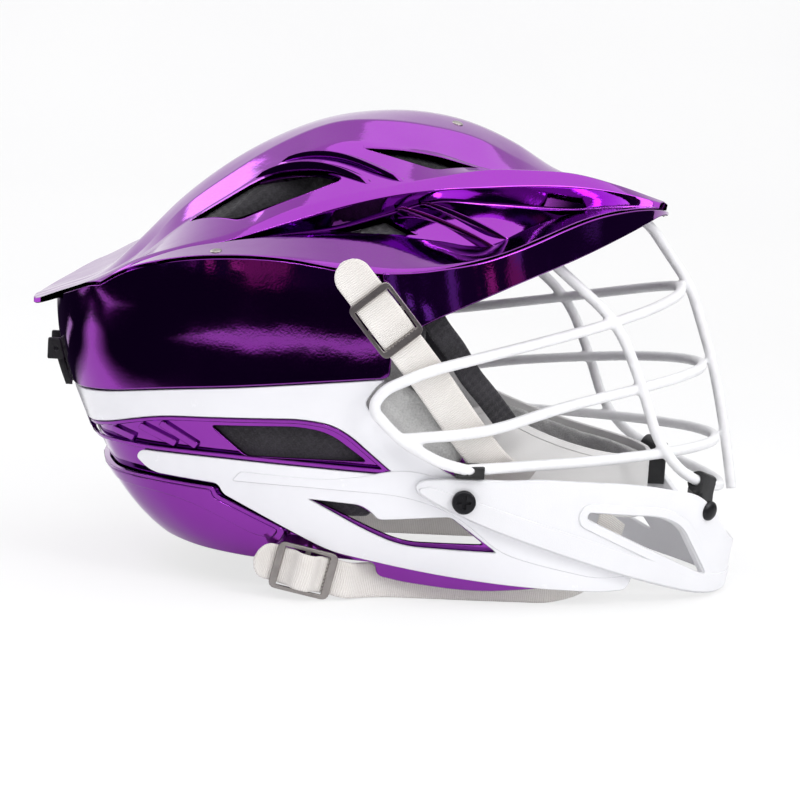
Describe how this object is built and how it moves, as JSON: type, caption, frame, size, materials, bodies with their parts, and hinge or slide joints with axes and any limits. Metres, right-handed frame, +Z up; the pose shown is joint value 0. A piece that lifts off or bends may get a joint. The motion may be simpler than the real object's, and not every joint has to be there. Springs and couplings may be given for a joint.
{
  "type": "lacrosse helmet",
  "caption": "Hard shell lacrosse helmet with vented ridged crown, brow visor, side panels, wire face mask, chin guard, chin cup and sliding nape piece.",
  "frame": {"origin": "middle of the bounding box at the surface that the helmet stands on", "axes": "+X to the front of the helmet, +Y to the wearer's left, +Z up"},
  "size_m": [0.3368, 0.2286, 0.2132],
  "materials": {
    "chrome_violet": "vacuum metallised and tinted violet under a clear coat",
    "white_gloss": "moulded, glossy",
    "white_satin": "moulded, satin",
    "wire_white": "thick white coating on steel wire",
    "black_plastic": "moulded, fine texture",
    "black_metal": "black oxide",
    "steel_dark": "smoked metal plating",
    "foam_black": "brushed cloth over closed-cell foam",
    "foam_grey": "pale brushed cloth over foam",
    "webbing": "woven webbing, warm white",
    "cup_white": "moulded, satin"
  },
  "bodies": {
    "helmet": {"crown_shell": "chrome_violet", "visor": "chrome_violet", "jaw_shell": "chrome_violet", "side_panel_right": "white_gloss", "side_panel_left": "white_gloss", "window_trim_right": "chrome_violet", "window_trim_left": "chrome_violet", "chin_guard": "white_satin", "chin_guard_screws": "black_metal", "chin_guard_nuts": "black_metal", "latch_pin": "black_metal", "latch_ears": "black_plastic", "mask_frame": "wire_white", "mask_middle_bar": "wire_white", "mask_lower_bar": "wire_white", "mask_side_bars": "wire_white", "mask_centre_bar": "wire_white", "chin_clips": "black_plastic", "chin_clip_screws": "black_metal", "side_clips": "black_plastic", "top_clips": "black_plastic", "crown_liner": "foam_black", "front_pad": "foam_black", "rear_pad": "foam_black", "side_pad_right": "foam_black", "side_pad_left": "foam_black", "jaw_pad_right": "foam_black", "jaw_pad_left": "foam_black", "ear_liner_right": "foam_grey", "ear_liner_left": "foam_grey", "ear_strip_right": "foam_black", "ear_strip_left": "foam_black", "chin_cup": "cup_white", "cup_liner": "foam_grey", "upper_strap_right": "webbing", "upper_strap_left": "webbing", "lower_strap_right": "webbing", "lower_strap_left": "webbing", "upper_slider_right": "steel_dark", "upper_slider_left": "steel_dark", "lower_slider_right": "steel_dark", "lower_slider_left": "steel_dark", "strap_snaps": "steel_dark", "shell_rivets": "steel_dark"},
    "tail": {"tail": "chrome_violet", "tail_clips": "black_plastic", "tail_pad": "foam_black"},
    "latch": {"fit_latch": "black_plastic"}
  },
  "joints": [
    {"name": "tail_adjust", "type": "slide", "parent": "helmet", "child": "tail", "axis": [-0.9397, 0, -0.342], "range_m": [0, 0.01]},
    {"name": "latch_swing", "type": "hinge", "parent": "helmet", "child": "latch", "pos_m": [-0.158, 0, 0.0967], "axis": [0, 1, 0], "range_deg": [0, 60]}
  ]
}
